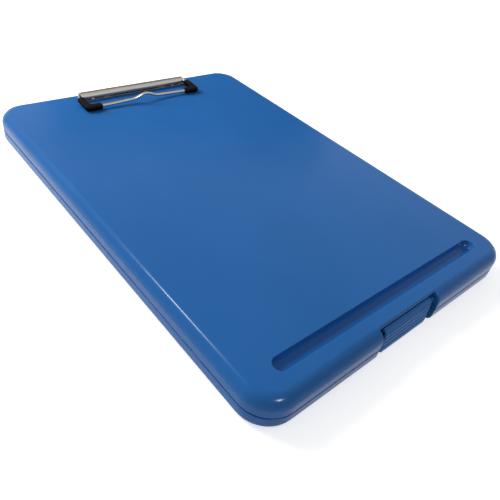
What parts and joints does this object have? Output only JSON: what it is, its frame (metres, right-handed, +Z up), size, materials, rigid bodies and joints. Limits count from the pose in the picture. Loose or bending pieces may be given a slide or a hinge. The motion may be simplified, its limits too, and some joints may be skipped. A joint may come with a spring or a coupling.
{
  "type": "storage clipboard box",
  "caption": "Hinged storage case whose lid is a writing board with a low wire clip, a pen groove and a snap latch.",
  "frame": {"origin": "centre of the tray's flat underside, on the surface the case lies on", "axes": "+X to the right, +Y towards the hinge and the paper clip, +Z up; units are metres"},
  "size_m": [0.234, 0.3358, 0.031],
  "materials": {
    "shell_plastic": "blue moulded polypropylene with a soft sheen",
    "latch_plastic": "blue moulded polypropylene",
    "nickel_plate": "nickel-plated sheet steel",
    "spring_steel": "bright plated spring steel",
    "pin_steel": "plain steel",
    "black_sleeve": "black vinyl with a soft sheen"
  },
  "bodies": {
    "case_tray": {"tray": "shell_plastic", "hinge_pin_left": "pin_steel", "hinge_pin_right": "pin_steel"},
    "case_lid": {"lid": "shell_plastic", "latch_pin": "pin_steel", "clip_plate": "nickel_plate", "clip_rivets": "pin_steel", "rivet_washers": "pin_steel", "clip_spring": "spring_steel"},
    "clip_bail": {"clip_wire": "spring_steel", "clip_sleeve_left": "black_sleeve", "clip_sleeve_right": "black_sleeve"},
    "front_latch": {"latch": "latch_plastic"}
  },
  "joints": [
    {"name": "lid_hinge", "type": "hinge", "parent": "case_tray", "child": "case_lid", "pos_m": [0, 0.1668, 0.01], "axis": [-1, 0, 0], "range_deg": [0, 110]},
    {"name": "clip_pivot", "type": "hinge", "parent": "case_lid", "child": "clip_bail", "pos_m": [0, 0.1501, 0.0267], "axis": [-1, 0, 0], "range_deg": [0, 95], "stiffness_Nm_per_rad": 0.05, "springref_deg": -114.59},
    {"name": "latch_pivot", "type": "hinge", "parent": "case_lid", "child": "front_latch", "pos_m": [0, -0.1602, 0.0162], "axis": [-1, 0, 0], "range_deg": [0, 75]}
  ]
}
